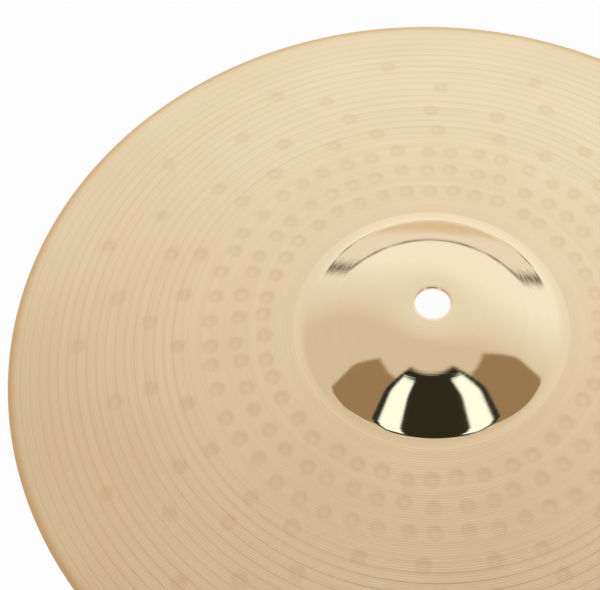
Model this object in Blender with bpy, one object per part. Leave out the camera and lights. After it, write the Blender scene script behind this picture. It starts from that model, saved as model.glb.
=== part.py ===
# A 12 inch splash cymbal: one plate of bell bronze, rolled, pressed, hammered and turned.
#
# Seen in section from the axis outwards, its upper skin is one tangent chain: a flat seat
# round the hole, a rounded crown, a straight bell wall, a small fillet at the bell's foot,
# and the bow, which is a shallow dome as far as the rounded rim. The lower skin follows the
# upper one at a thickness that falls from the bell to the rim. The section is spun about Z.
#
# Metres, +Z up. The rim stands on z = 0, with the hole's axis on the Z axis.

import math

import bmesh
import bpy

# Outline of the upper skin
CYMBAL_DIAMETER = 0.3048
BOW_RADIUS = 0.608  # the bow is part of a sphere of this radius, centred on the axis
BELL_DIAMETER = 0.090  # where the bell's wall would meet the bow if there were no fillet
BELL_HEIGHT = 0.0149  # from there up to the seat
CROWN_DIAMETER = 0.068  # where the rounded crown ends and the straight wall begins
SEAT_DIAMETER = 0.018  # flat ring that the stand's washers and felts press on
HOLE_DIAMETER = 0.0125
BELL_FOOT_RADIUS = 0.0060  # fillet between the bell's wall and the bow

# Plate
SEAT_THICKNESS = 0.00115
BELL_FOOT_THICKNESS = 0.00100
RIM_THICKNESS = 0.00066
HOLE_CHAMFER = 0.00020

# Faces
TURNS = 96  # steps of the spin
CROWN_STEPS = 7
FOOT_STEPS = 4
BOW_STEPS = 8
RIM_STEPS = 5

BRONZE_COLOUR = (0.80, 0.60, 0.36, 1.0)
BRONZE_ROUGHNESS = 0.28


def rim_section():
    """(radius, height, slope) of the upper skin where the rounded rim begins.

    The rim is a half round across the plate. Its widest point makes the diameter,
    and its lowest point stands on z = 0."""
    half = RIM_THICKNESS / 2
    radius = (CYMBAL_DIAMETER / 2 - half) / (1 - half / BOW_RADIUS)
    slope = math.asin(radius / BOW_RADIUS)
    return radius, half * (1 + math.cos(slope)), slope


def bow_centre():
    """Height of the centre of the bow's sphere."""
    _, height, slope = rim_section()
    return height - BOW_RADIUS * math.cos(slope)


def bow_point(slope):
    """Upper skin of the bow where it falls outwards by this angle."""
    return BOW_RADIUS * math.sin(slope), bow_centre() + BOW_RADIUS * math.cos(slope), slope


def bell_foot():
    """(radius, height) of the corner that the foot's fillet rounds off."""
    radius, height, _ = bow_point(math.asin(BELL_DIAMETER / 2 / BOW_RADIUS))
    return radius, height


def wall_angle():
    """Slope of the bell's straight wall.

    A crown that starts level at the seat and turns by the angle a drops width * tan(a / 2),
    and the wall after it drops length * tan(a). The two drops make the bell's height."""
    crown_width = (CROWN_DIAMETER - SEAT_DIAMETER) / 2
    wall_width = (BELL_DIAMETER - CROWN_DIAMETER) / 2
    low, high = 0.0, math.radians(89)
    for _ in range(60):
        middle = (low + high) / 2
        drop = crown_width * math.tan(middle / 2) + wall_width * math.tan(middle)
        if drop < BELL_HEIGHT:
            low = middle
        else:
            high = middle
    return low


def foot_arc(angle):
    """(centre radius, centre height, arc radius, slope where it meets the bow) of the fillet.

    Its centre lies one arc radius off the wall's line and off the bow's sphere."""
    corner_r, corner_z = bell_foot()
    bow_slope = math.asin(corner_r / BOW_RADIUS)
    wall_length = (BELL_DIAMETER - CROWN_DIAMETER) / 2 / math.cos(angle)
    arc = min(BELL_FOOT_RADIUS, 0.9 * wall_length / math.tan((angle - bow_slope) / 2))
    start_r = corner_r + arc * math.sin(angle)
    start_z = corner_z + arc * math.cos(angle) - bow_centre()
    along_r, along_z = -math.cos(angle), math.sin(angle)
    middle = start_r * along_r + start_z * along_z
    rest = start_r**2 + start_z**2 - (BOW_RADIUS + arc) ** 2
    move = -middle - math.sqrt(middle**2 - rest)
    if abs(-middle + math.sqrt(middle**2 - rest)) < abs(move):
        move = -middle + math.sqrt(middle**2 - rest)
    centre_r = start_r + move * along_r
    centre_z = start_z + move * along_z
    return centre_r, centre_z + bow_centre(), arc, math.atan2(centre_r, centre_z)


def spread(start, end, steps):
    """steps + 1 values from start to end, evenly apart."""
    return [start + (end - start) * i / steps for i in range(steps + 1)]


def upper_skin():
    """(radius, height, slope) along the upper skin, from the hole to the start of the rim."""
    angle = wall_angle()
    seat_r = SEAT_DIAMETER / 2
    seat_z = bell_foot()[1] + BELL_HEIGHT
    crown = (CROWN_DIAMETER - SEAT_DIAMETER) / 2 / math.sin(angle)
    foot_r, foot_z, foot, bow_start = foot_arc(angle)
    points = [(HOLE_DIAMETER / 2, seat_z, 0.0)]
    for slope in spread(0.0, angle, CROWN_STEPS):
        points.append((seat_r + crown * math.sin(slope), seat_z - crown * (1 - math.cos(slope)), slope))
    for slope in spread(angle, bow_start, FOOT_STEPS):
        points.append((foot_r - foot * math.sin(slope), foot_z - foot * math.cos(slope), slope))
    for slope in spread(bow_start, rim_section()[2], BOW_STEPS)[1:]:
        points.append(bow_point(slope))
    return points


def thickness(radius):
    """Plate thickness: even under the seat, then falling to the bell's foot and on to the rim."""
    seat_r, foot_r, rim_r = SEAT_DIAMETER / 2, BELL_DIAMETER / 2, rim_section()[0]
    if radius <= seat_r:
        return SEAT_THICKNESS
    if radius <= foot_r:
        share = (radius - seat_r) / (foot_r - seat_r)
        return SEAT_THICKNESS + (BELL_FOOT_THICKNESS - SEAT_THICKNESS) * share
    share = (radius - foot_r) / (rim_r - foot_r)
    return BELL_FOOT_THICKNESS + (RIM_THICKNESS - BELL_FOOT_THICKNESS) * share


def section():
    """The closed outline of the plate as (radius, height), clockwise from the hole's upper edge."""
    skin = upper_skin()
    upper = [(radius, height) for radius, height, _ in skin]
    lower = []
    for radius, height, slope in skin:
        deep = thickness(radius)
        lower.append((radius - deep * math.sin(slope), height - deep * math.cos(slope)))

    # Both edges of the hole are broken by a small chamfer.
    hole_r, top = upper[0]
    bottom = lower[0][1]
    upper[0:1] = [(hole_r, top - HOLE_CHAMFER), (hole_r + HOLE_CHAMFER, top)]
    lower[0:1] = [(hole_r, bottom + HOLE_CHAMFER), (hole_r + HOLE_CHAMFER, bottom)]

    _, _, slope = skin[-1]
    half = RIM_THICKNESS / 2
    centre_r = upper[-1][0] - half * math.sin(slope)
    centre_z = upper[-1][1] - half * math.cos(slope)
    rim = []
    for turn in spread(slope, slope + math.pi, RIM_STEPS)[1:-1]:
        rim.append((centre_r + half * math.sin(turn), centre_z + half * math.cos(turn)))
    return upper + rim + lower[::-1]


def spun(name, outline, turns):
    """A closed outline in the XZ plane, spun once round the Z axis into an object."""
    mesh = bmesh.new()
    corners = [mesh.verts.new((radius, 0.0, height)) for radius, height in outline]
    edges = [mesh.edges.new((a, b)) for a, b in zip(corners, corners[1:] + corners[:1])]
    bmesh.ops.spin(
        mesh,
        geom=corners + edges,
        cent=(0.0, 0.0, 0.0),
        axis=(0.0, 0.0, 1.0),
        angle=2 * math.pi,
        steps=turns,
        use_merge=True,
    )
    bmesh.ops.recalc_face_normals(mesh, faces=mesh.faces[:])
    data = bpy.data.meshes.new(name)
    mesh.to_mesh(data)
    mesh.free()
    data.shade_smooth()
    data.set_sharp_from_angle(angle=math.radians(35))
    made = bpy.data.objects.new(name, data)
    bpy.context.scene.collection.objects.link(made)
    return made


def bronze():
    """Bright tin bronze, as turned."""
    made = bpy.data.materials.new("bell_bronze")
    made.use_nodes = True
    shader = made.node_tree.nodes["Principled BSDF"]
    shader.inputs["Base Color"].default_value = BRONZE_COLOUR
    shader.inputs["Metallic"].default_value = 1.0
    shader.inputs["Roughness"].default_value = BRONZE_ROUGHNESS
    return made


def main():
    for old in list(bpy.data.objects):
        bpy.data.objects.remove(old)
    cymbal = spun("cymbal", section(), TURNS)
    cymbal.data.materials.append(bronze())


main()
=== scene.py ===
# Looks of a hammered and turned splash cymbal, seen from above and in front on white.
import math

import bpy
import numpy as np
from mathutils import Matrix


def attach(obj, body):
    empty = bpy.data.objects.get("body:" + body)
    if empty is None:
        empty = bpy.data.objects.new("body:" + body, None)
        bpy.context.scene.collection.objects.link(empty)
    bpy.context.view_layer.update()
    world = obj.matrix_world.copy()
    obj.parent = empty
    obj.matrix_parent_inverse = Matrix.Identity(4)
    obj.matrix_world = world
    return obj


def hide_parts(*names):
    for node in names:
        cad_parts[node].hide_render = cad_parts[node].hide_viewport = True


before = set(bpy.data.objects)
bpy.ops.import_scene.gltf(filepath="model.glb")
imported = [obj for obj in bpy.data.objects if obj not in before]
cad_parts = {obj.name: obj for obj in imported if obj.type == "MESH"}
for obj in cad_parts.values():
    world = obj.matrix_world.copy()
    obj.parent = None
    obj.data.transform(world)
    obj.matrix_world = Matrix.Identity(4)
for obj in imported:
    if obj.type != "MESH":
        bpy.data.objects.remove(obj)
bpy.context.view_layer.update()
print("frame loaded, nodes:", len(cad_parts))

mm = 0.001


# A node's output socket, which adds, subtracts, multiplies and divides like a number.
class Wire:
    def __init__(self, tree, socket):
        self.tree = tree
        self.socket = socket

    def __add__(self, other):
        return maths("ADD", self, other)

    def __sub__(self, other):
        return maths("SUBTRACT", self, other)

    def __rsub__(self, other):
        return maths("SUBTRACT", other, self)

    def __mul__(self, other):
        return maths("MULTIPLY", self, other)

    def __truediv__(self, other):
        return maths("DIVIDE", self, other)

    __radd__ = __add__
    __rmul__ = __mul__

    # 0 below low and 1 above high, smooth in between
    def step(self, low, high):
        inputs = {"Value": self, "From Min": low, "From Max": high}
        return makeNode(self.tree, "ShaderNodeMapRange", {"interpolation_type": "SMOOTHSTEP"}, inputs)

    # another output of the same node
    def output(self, name):
        return Wire(self.tree, self.socket.node.outputs[name])


# A value or a wire for each named socket of a node.
def fillSockets(tree, node, inputs):
    for name, value in inputs.items():
        if isinstance(value, Wire):
            tree.links.new(value.socket, node.inputs[name])
        else:
            node.inputs[name].default_value = value


# One node: its settings first, then its sockets.
def makeNode(tree, kind, settings, inputs, output=0):
    node = tree.nodes.new(kind)
    for name, value in settings.items():
        setattr(node, name, value)
    fillSockets(tree, node, inputs)
    return Wire(tree, node.outputs[output])


# One operation on numbers and wires, in the tree of the first wire.
def maths(operation, *values):
    tree = next(value.tree for value in values if isinstance(value, Wire))
    return makeNode(tree, "ShaderNodeMath", {"operation": operation}, dict(enumerate(values)))


# The first colour where share is 0, the second where it is 1.
def mixColour(tree, share, first, second):
    sockets = {"factor": 0, "first": 6, "second": 7, "result": 2}  # the colour sockets of a Mix node
    inputs = {sockets["factor"]: share, sockets["first"]: first, sockets["second"]: second}
    return makeNode(tree, "ShaderNodeMix", {"data_type": "RGBA"}, inputs, sockets["result"])


# The camera's place and its three directions, worked out from the rim's ellipse.
cameraSet = {
    "place": (-0.04555, -0.32100, 0.55417),
    "right": (0.99821, -0.05059, -0.03181),
    "up": (0.05976, 0.84508, 0.53128),
    "back": (0.0, -0.53224, 0.84660),
    "lens": 106.44,
    "sensor": 36.0,
    "nearest": 0.01,
    "furthest": 20,
}


# Its three directions are the columns of the turning matrix.
def makeCamera():
    data = bpy.data.cameras.new("photoCamera")
    data.lens = cameraSet["lens"]
    data.sensor_width = cameraSet["sensor"]
    data.clip_start = cameraSet["nearest"]
    data.clip_end = cameraSet["furthest"]
    camera = bpy.data.objects.new("photoCamera", data)
    bpy.context.scene.collection.objects.link(camera)
    turn = Matrix([cameraSet["right"], cameraSet["up"], cameraSet["back"]]).transposed()
    camera.matrix_world = Matrix.Translation(cameraSet["place"]) @ turn.to_4x4()
    bpy.context.scene.camera = camera


makeCamera()
print("camera placed")

# The plate's section, with the same driving sizes as the solid, and the rows of its mesh.
plate = {
    "width": 304.8 * mm,
    "bowRadius": 608 * mm,
    "bellWidth": 90 * mm,
    "bellHeight": 14.9 * mm,
    "crownWidth": 68 * mm,
    "seatWidth": 18 * mm,
    "holeWidth": 12.5 * mm,
    "footRadius": 6.0 * mm,
    "seatThick": 1.15 * mm,
    "footThick": 1.00 * mm,
    "rimThick": 0.66 * mm,
    "chamfer": 0.2 * mm,
    "around": 448,
    "upperRows": 168,
    "lowerRows": 36,
    "rimRows": 7,
}


# Where the section's arcs and straight meet. The crown turns by the wall's angle a and drops
# width * tan(a / 2), the wall drops length * tan(a), and both together make the bell's height.
# The fillet's centre lies its own radius off the wall's line and off the bow's sphere.
def solveSection():
    p = plate
    half = p["rimThick"] / 2
    rimR = (p["width"] / 2 - half) / (1 - half / p["bowRadius"])
    rimSlope = math.asin(rimR / p["bowRadius"])
    bowZ = half * (1 + math.cos(rimSlope)) - p["bowRadius"] * math.cos(rimSlope)
    cornerR = p["bellWidth"] / 2
    cornerZ = bowZ + math.sqrt(p["bowRadius"] ** 2 - cornerR**2)

    crownRun = (p["crownWidth"] - p["seatWidth"]) / 2
    wallRun = (p["bellWidth"] - p["crownWidth"]) / 2
    flattest, steepest, tries = 0.01, 1.4, 4000  # radians
    angles = np.linspace(flattest, steepest, tries)
    drops = crownRun * np.tan(angles / 2) + wallRun * np.tan(angles)
    wall = float(np.interp(p["bellHeight"], drops, angles))
    crown = crownRun / math.sin(wall)

    foot = p["footRadius"]
    startR = cornerR + foot * math.sin(wall)
    startZ = cornerZ + foot * math.cos(wall) - bowZ
    middle = -startR * math.cos(wall) + startZ * math.sin(wall)
    rest = startR**2 + startZ**2 - (p["bowRadius"] + foot) ** 2
    reach = math.sqrt(middle**2 - rest)
    move = min([-middle - reach, -middle + reach], key=abs)
    footR = startR - move * math.cos(wall)
    footZ = startZ + move * math.sin(wall) + bowZ
    bowSlope = math.atan2(footR, footZ - bowZ)
    return {
        "rimR": rimR,
        "rimSlope": rimSlope,
        "bowZ": bowZ,
        "seatZ": cornerZ + p["bellHeight"],
        "wall": wall,
        "crown": crown,
        "crownEnd": p["seatWidth"] / 2 + crown * math.sin(wall),
        "footR": footR,
        "footZ": footZ,
        "footStart": footR - foot * math.sin(wall),
        "footEnd": footR - foot * math.sin(bowSlope),
    }


bends = solveSection()


# Upper skin by radius: level seat, crown arc, straight wall, fillet arc, bow arc. An arc's height
# is its centre's, plus or minus the root of its radius squared less the offset squared.
def skinHeight(r):
    seatR = plate["seatWidth"] / 2
    crown, crownEnd = bends["crown"], bends["crownEnd"]
    footStart, footEnd = bends["footStart"], bends["footEnd"]
    foot = plate["footRadius"]
    onCrown = bends["seatZ"] - crown + np.sqrt(crown**2 - np.clip(r - seatR, 0, crownEnd - seatR) ** 2)
    wallDrop = -math.tan(bends["wall"]) * np.clip(r - crownEnd, 0, footStart - crownEnd)
    onFoot = bends["footZ"] - np.sqrt(foot**2 - (np.clip(r, footStart, footEnd) - bends["footR"]) ** 2)
    onBow = bends["bowZ"] + np.sqrt(plate["bowRadius"] ** 2 - r**2)
    return np.where(r < footStart, onCrown + wallDrop, np.where(r < footEnd, onFoot, onBow))


# Plate thickness by radius: even under the seat, then falling to the bell's foot and to the rim.
def plateThickness(r):
    stops = [0, plate["seatWidth"] / 2, plate["bellWidth"] / 2, bends["rimR"]]
    values = [plate["seatThick"], plate["seatThick"], plate["footThick"], plate["rimThick"]]
    return np.interp(r, stops, values)


# Hammer marks: rings of shallow round dimples, close together near the bell and sparse outside.
hammering = {
    "rings": [  # radius, marks in the ring, depth, width
        (59.5 * mm, 42, 0.085 * mm, 6.2 * mm),
        (69.0 * mm, 46, 0.085 * mm, 6.2 * mm),
        (79.0 * mm, 50, 0.075 * mm, 6.2 * mm),
        (89.5 * mm, 26, 0.075 * mm, 6.4 * mm),
        (101.0 * mm, 21, 0.075 * mm, 6.4 * mm),
        (113.5 * mm, 17, 0.075 * mm, 6.4 * mm),
        (126.5 * mm, 16, 0.075 * mm, 6.4 * mm),
    ],
    "seed": 7,
    "uneven": 0.14,  # how far a mark strays along its ring, as a share of the pitch
    "wander": 0.9 * mm,  # how far it strays across the ring
    "softest": 0.6,
    "hardest": 1.2,
    "fullDepth": 0.085 * mm,  # the depth that counts as fully pressed for the painted shade
    "outline": 0.85,  # share of a mark's painted shade that lies round its edge, on its slope
}

# Lathe work: broad ridges across the outer bow, and one ring cut round the bell.
turning = {
    "pitch": 3.5 * mm,
    "depth": 0.012 * mm,
    "start": 84 * mm,
    "end": 149 * mm,
    "fadeIn": 6 * mm,
    "fadeOut": 3 * mm,
    "bellGroove": 48.4 * mm,
    "bellGrooveWidth": 0.7 * mm,
    "bellGrooveDepth": 0.05 * mm,
}


# Sum of smooth dimples, each depth * (1 - d^2)^2 inside its width, d being 1 at its edge.
def hammerDepth(r, turn):
    random = np.random.default_rng(hammering["seed"])
    x = r * np.cos(turn)
    y = r * np.sin(turn)
    depth = np.zeros_like(x)
    stray = hammering["uneven"]
    for radius, count, deep, width in hammering["rings"]:
        angles = (np.arange(count) + random.uniform(-stray, stray, count)) * 2 * math.pi / count
        radii = radius + random.uniform(-1, 1, count) * hammering["wander"]
        blows = random.uniform(hammering["softest"], hammering["hardest"], count)
        band = np.abs(r[:, 0] - radius) < width
        for angle, ringR, blow in zip(angles, radii, blows):
            d2 = (x[band] - ringR * math.cos(angle)) ** 2 + (y[band] - ringR * math.sin(angle)) ** 2
            inside = np.clip(1 - d2 / (width / 2) ** 2, 0, 1)
            depth[band] -= deep * blow * inside**2
    return depth


# How much painted shade a point takes from the hammer marks: q is the root of its share of the full
# depth, and
# 4 * q * (1 - q) is strongest part way in, on the mark's slope, which paints each mark's shaded outline.
def markShadeShare(marks):
    q = np.clip(-marks / hammering["fullDepth"], 0, 1) ** 0.5
    return np.clip(4 * q * (1 - q), 0, 1) * hammering["outline"] + q * (1 - hammering["outline"])


# depth * cos(2 pi r / pitch), faded in and out, less a bell curve for the ring round the bell.
def turningDepth(r):
    fadeIn = np.clip((r - turning["start"]) / turning["fadeIn"], 0, 1)
    fadeOut = np.clip((turning["end"] - r) / turning["fadeOut"], 0, 1)
    ridges = turning["depth"] * fadeIn * fadeOut * np.cos(2 * math.pi * r / turning["pitch"])
    cut = np.exp(-(((r - turning["bellGroove"]) / (turning["bellGrooveWidth"] / 2)) ** 2))
    return ridges - turning["bellGrooveDepth"] * cut


# A mesh from a grid of points that closes on itself both ways.
def meshGrid(name, points):
    rows, columns = points.shape[:2]
    index = np.arange(rows * columns).reshape(rows, columns)
    nextRow = np.roll(index, -1, axis=0)
    corners = [index, nextRow, np.roll(nextRow, -1, axis=1), np.roll(index, -1, axis=1)]
    quads = np.stack(corners, axis=-1).reshape(-1, 4)
    mesh = bpy.data.meshes.new(name)
    mesh.vertices.add(rows * columns)
    mesh.vertices.foreach_set("co", points.astype(np.float32).ravel())
    mesh.loops.add(quads.size)
    mesh.loops.foreach_set("vertex_index", quads.astype(np.int32).ravel())
    mesh.polygons.add(len(quads))
    mesh.polygons.foreach_set("loop_start", np.arange(0, quads.size, 4, dtype=np.int32))
    mesh.polygons.foreach_set("use_smooth", np.ones(len(quads), dtype=bool))
    mesh.update(calc_edges=True)
    mesh.validate()
    return mesh


# The closed section as (radius, height) arrays: upper skin outwards, half round rim, lower skin
# inwards, and the wall of the hole. The upper skin comes first.
def sectionPoints():
    p = plate
    holeR = p["holeWidth"] / 2
    edgeR = holeR + p["chamfer"]
    half = p["rimThick"] / 2
    slope = bends["rimSlope"]
    upperR = np.linspace(edgeR, bends["rimR"], p["upperRows"])
    upperZ = skinHeight(upperR)
    turn = np.linspace(slope, slope + math.pi, p["rimRows"] + 2)[1:-1]
    rimR = bends["rimR"] - half * math.sin(slope) + half * np.sin(turn)
    rimZ = upperZ[-1] - half * math.cos(slope) + half * np.cos(turn)
    lowerR = np.linspace(bends["rimR"] - 2 * half * math.sin(slope), edgeR, p["lowerRows"])
    fall = np.gradient(skinHeight(lowerR), lowerR)
    lowerZ = skinHeight(lowerR) - plateThickness(lowerR) * np.sqrt(1 + fall**2)
    top = bends["seatZ"] - p["chamfer"]
    bottom = bends["seatZ"] - p["seatThick"] + p["chamfer"]
    radius = np.concatenate([upperR, rimR, lowerR, [holeR, holeR]])
    height = np.concatenate([upperZ, rimZ, lowerZ, [bottom, top]])
    return radius, height


# The section turned round Z, each point being (r cos t, r sin t, z), with the hammer marks and
# the lathe work pressed into its upper skin.
def makePlate():
    radius, height = sectionPoints()
    around = plate["around"]
    angle = np.arange(around) * 2 * math.pi / around
    r = np.repeat(radius[:, None], around, axis=1)
    z = np.repeat(height[:, None], around, axis=1)
    turn = np.repeat(angle[None, :], len(radius), axis=0)
    upper = slice(0, plate["upperRows"])
    marks = np.zeros_like(r)
    marks[upper] = hammerDepth(r[upper], turn[upper])
    z += marks
    z[upper] += turningDepth(r[upper])
    z = np.maximum(z, 0)
    points = np.stack([r * np.cos(turn), r * np.sin(turn), z], axis=-1)
    mesh = meshGrid("cymbalPlate", points)
    # painted shade of the hammer marks, kept per point so the material darkens each dimple's slope
    markShade = mesh.attributes.new("markShade", "FLOAT", "POINT")
    markShade.data.foreach_set("value", markShadeShare(marks).astype(np.float32).ravel())
    made = bpy.data.objects.new("cymbalPlate", mesh)
    bpy.context.scene.collection.objects.link(made)
    return made


# Bronze: polished on the bell, turned to a satin on the bow, browner at the rim, with painted shade in
# the hammer marks and along the turning lines.
bronze = {
    "pale": (0.900, 0.700, 0.460, 1),
    "warm": (0.840, 0.620, 0.380, 1),
    "rim": (0.700, 0.440, 0.210, 1),
    # painted shade of the hammer marks
    "markShade": (0.720, 0.500, 0.280, 1),
    # painted shade in the turning lines, also used for the fine rings' random tone
    "grooveShadeAndTone": (0.700, 0.500, 0.290, 1),
    "bellRoughness": 0.05,
    "bowRoughness": 0.34,
    "fineRoughness": 0.16,  # how far the roughness varies from line to line
    "cloudRoughness": 0.05,
    "bellEdge": 48.6 * mm,
    "bellBlur": 0.4 * mm,
    "rimStart": 148.5 * mm,
    "rimEnd": 152 * mm,
    "fineNoise": (2600, 2.0),  # noise cells in a metre of radius, and detail
    "coarseNoise": (420, 1.0),
    "cloudNoise": (18.0, 3.0),  # the same in every direction
    "noiseMiddle": 0.5,
    "thread": 0.9 * mm,  # pitch of the close turning lines
    "lineFrom": 0.55,  # a sine above this counts as a line
    "lineFade": 8 * mm,
    "cloudShare": 0.6,  # of the warm tone, the rest being the coarse noise
    "warmFrom": 0.3,
    "warmTo": 0.7,
    "warmBell": 0.15,  # how strong the warm tone is on the bell, and what the bow adds
    "warmBow": 0.45,
    "markShadeTone": 0.42,  # and how strong each other tone and painted shade is
    # strength of the painted shade along the turning lines
    "lineShade": 0.22,
    "fineTone": 0.25,
    "fineMiddle": 0.35,
    "rimTone": 0.8,
    "fineRelief": 0.35,  # the bump's fine part on the bell, what the bow adds, and its other parts
    "fineReliefBow": 0.65,
    "coarseRelief": 0.5,
    "threadRelief": 0.35,
    "bump": 0.6,
    "bumpHeight": 0.04 * mm,
}


# Everything in it follows the radius, apart from a faint cloudiness and the hammer marks.
def makeBronze():
    b = bronze
    made = bpy.data.materials.new("turnedBronze")
    made.use_nodes = True
    tree = made.node_tree
    place = makeNode(tree, "ShaderNodeTexCoord", {}, {}, "Object")
    flat = makeNode(tree, "ShaderNodeVectorMath", {"operation": "MULTIPLY"}, {0: place, 1: (1, 1, 0)})
    radius = makeNode(tree, "ShaderNodeVectorMath", {"operation": "LENGTH"}, {0: flat}, "Value")
    onBow = radius.step(b["bellEdge"] - b["bellBlur"], b["bellEdge"] + b["bellBlur"])
    nearRim = radius.step(b["rimStart"], b["rimEnd"])

    # noise that changes with the radius alone
    def rings(cells, detail):
        inputs = {"W": radius * cells, "Scale": 1.0, "Detail": detail}
        return makeNode(tree, "ShaderNodeTexNoise", {"noise_dimensions": "1D"}, inputs, "Fac")

    # sin(2 pi r / pitch)
    def sine(pitch):
        return maths("SINE", radius * (2 * math.pi / pitch))

    fine = rings(*b["fineNoise"])
    coarse = rings(*b["coarseNoise"])
    cells, detail = b["cloudNoise"]
    inputs = {"Vector": place, "Scale": cells, "Detail": detail}
    clouds = makeNode(tree, "ShaderNodeTexNoise", {}, inputs, "Fac")
    markShade = makeNode(tree, "ShaderNodeAttribute", {"attribute_name": "markShade"}, {}, "Fac")
    lines = sine(turning["pitch"]).step(b["lineFrom"], 1.0)
    lines = lines * radius.step(turning["start"], turning["start"] + b["lineFade"])
    threads = sine(b["thread"])

    warmth = clouds * b["cloudShare"] + coarse * (1 - b["cloudShare"])
    warmth = warmth.step(b["warmFrom"], b["warmTo"]) * (b["warmBell"] + b["warmBow"] * onBow)
    tone = mixColour(tree, warmth, b["pale"], b["warm"])
    # painted shade of the hammer marks, darkest round each mark's slope
    tone = mixColour(tree, markShade * b["markShadeTone"], tone, b["markShade"])
    # painted shade along the turning lines, plus a random tone from ring to ring on the bow
    lineShadeAndRingTone = lines * b["lineShade"] + (fine - b["fineMiddle"]) * onBow * b["fineTone"]
    tone = mixColour(tree, lineShadeAndRingTone, tone, b["grooveShadeAndTone"])
    tone = mixColour(tree, nearRim * b["rimTone"], tone, b["rim"])

    roughness = b["bellRoughness"] + onBow * (b["bowRoughness"] - b["bellRoughness"])
    roughness = roughness + (fine - b["noiseMiddle"]) * onBow * b["fineRoughness"]
    roughness = roughness + (clouds - b["noiseMiddle"]) * b["cloudRoughness"]

    turned = coarse * b["coarseRelief"] - lines + b["threadRelief"] * threads
    relief = fine * (b["fineRelief"] + b["fineReliefBow"] * onBow) + turned * onBow
    bump = {"Strength": b["bump"], "Distance": b["bumpHeight"], "Height": relief}
    normal = makeNode(tree, "ShaderNodeBump", {}, bump)
    finish = {"Base Color": tone, "Roughness": roughness, "Normal": normal, "Metallic": 1.0}
    fillSockets(tree, tree.nodes["Principled BSDF"], finish)
    return made


cymbal = makePlate()
cymbal.data.materials.append(makeBronze())
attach(cymbal, "root")
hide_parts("cymbal")
print("plate made, faces:", len(cymbal.data.polygons))

# What the polished bell mirrors: a white tent, dimmer overhead and to the left, whose open
# side faces the camera between two tall white lamps, with a dull brown panel beyond each.
studio = {
    "dim": (0.57, 0.48, 0.37, 1),
    "bright": (1.02, 1.10, 1.16, 1),
    "lamp": (1.12, 1.42, 1.62, 1),
    "panel": (0.36, 0.27, 0.17, 1),
    "opening": (0.030, 0.030, 0.022, 1),
    "skirting": (0.16, 0.13, 0.09, 1),  # dark hem of the tent, just above the floor
    "white": (1, 1, 1, 1),  # what the camera itself sees
    "level": 0.57,  # the tent's brightness overhead, and what it gains to the right and back
    "levelRight": 0.154,
    "levelBack": 0.38,
    "levelLeast": 0.65,
    "levelDim": 0.5,  # the brightness at which it has the dim colour
    "levelSpan": 0.39,  # and how much more it needs for the bright one
    "lampStart": 29,  # degrees either side of the camera's direction
    "lampEnd": 47,
    "openingEnd": 53,
    "panelEnd": 88,
    "sideBlur": 1.2,
    "openingTop": 75,  # degrees above the horizon
    "lampTop": 66,
    "panelTop": 60,
    "topBlur": 1.5,
    "skirtStart": 0.02,  # heights on a sphere of radius 1
    "skirtEnd": 0.04,
    "skirtBlur": 0.03,
}


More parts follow.
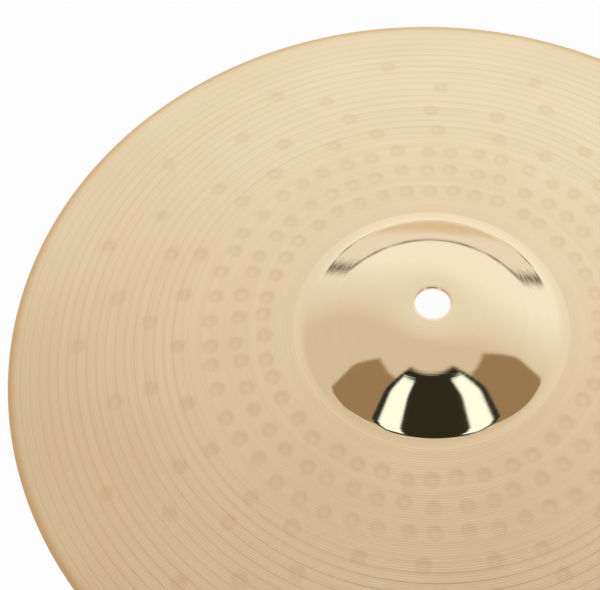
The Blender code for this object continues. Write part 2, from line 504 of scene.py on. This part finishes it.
# The tent by direction for what it lights and for what mirrors it, and white for the camera.
def makeStudio():
    s = studio
    world = bpy.data.worlds.new("studio")
    bpy.context.scene.world = world
    world.use_nodes = True
    tree = world.node_tree
    direction = makeNode(tree, "ShaderNodeTexCoord", {}, {}, "Generated")
    parts = makeNode(tree, "ShaderNodeSeparateXYZ", {}, {0: direction})
    x, y, z = (parts.output(i) for i in range(3))
    side = maths("ABSOLUTE", maths("ARCTAN2", x, -1 * y))

    # 1 further than this angle to either side, 0 nearer the camera's direction
    def beyond(angle):
        return side.step(math.radians(angle - s["sideBlur"]), math.radians(angle + s["sideBlur"]))

    # 1 lower than this angle above the horizon, as height on the sphere is its sine
    def under(angle):
        low, high = math.radians(angle - s["topBlur"]), math.radians(angle + s["topBlur"])
        return 1 - z.step(math.sin(low), math.sin(high))

    level = s["level"] + s["levelRight"] * x + s["levelBack"] * y
    level = maths("MAXIMUM", level, s["levelLeast"])
    light = mixColour(tree, (level - s["levelDim"]) / s["levelSpan"], s["dim"], s["bright"])
    panel = beyond(s["openingEnd"]) * (1 - beyond(s["panelEnd"])) * under(s["panelTop"])
    light = mixColour(tree, panel, light, s["panel"])
    opening = (1 - beyond(s["openingEnd"])) * under(s["openingTop"])
    light = mixColour(tree, opening, light, s["opening"])
    lamp = beyond(s["lampStart"]) * (1 - beyond(s["lampEnd"])) * under(s["lampTop"])
    light = mixColour(tree, lamp, light, s["lamp"])
    skirting = z.step(0.0, s["skirtStart"]) * (1 - z.step(s["skirtEnd"], s["skirtEnd"] + s["skirtBlur"]))
    light = mixColour(tree, skirting, light, s["skirting"])
    camera = makeNode(tree, "ShaderNodeLightPath", {}, {}, "Is Camera Ray")
    seen = mixColour(tree, camera, light, s["white"])
    fillSockets(tree, tree.nodes["Background"], {"Color": seen})


# A pale floor that looks white, straight on and in the bell, and keeps a faint shadow.
floorSet = {
    "reach": 3.0,
    "colour": (0.9, 0.9, 0.9, 1),
    "roughness": 0.9,
    "seenWhite": 0.95,  # share of plain white that the camera sees
    "mirroredWhite": 0.8,  # share that metal mirrors
}


# Its shaded surface mixed with plain white, by a share for each kind of ray.
def makeFloor():
    reach = floorSet["reach"]
    mesh = bpy.data.meshes.new("studioFloor")
    corners = [(-reach, -reach, 0), (reach, -reach, 0), (reach, reach, 0), (-reach, reach, 0)]
    mesh.from_pydata(corners, [], [(0, 1, 2, 3)])
    floor = bpy.data.objects.new("studioFloor", mesh)
    bpy.context.scene.collection.objects.link(floor)
    made = bpy.data.materials.new("studioFloor")
    made.use_nodes = True
    tree = made.node_tree
    shader = tree.nodes["Principled BSDF"]
    fillSockets(tree, shader, {"Base Color": floorSet["colour"], "Roughness": floorSet["roughness"]})
    camera = makeNode(tree, "ShaderNodeLightPath", {}, {}, "Is Camera Ray")
    mirrored = camera.output("Is Glossy Ray") + camera.output("Is Transmission Ray")
    white = camera * floorSet["seenWhite"] + mirrored * floorSet["mirroredWhite"]
    glow = makeNode(tree, "ShaderNodeEmission", {}, {"Strength": 1.0})
    pale = Wire(tree, shader.outputs[0])
    mix = makeNode(tree, "ShaderNodeMixShader", {}, {0: white, 1: pale, 2: glow})
    fillSockets(tree, tree.nodes["Material Output"], {"Surface": mix})
    mesh.materials.append(made)


makeStudio()
makeFloor()
bpy.context.scene.view_settings.view_transform = "Standard"
print("studio lit")
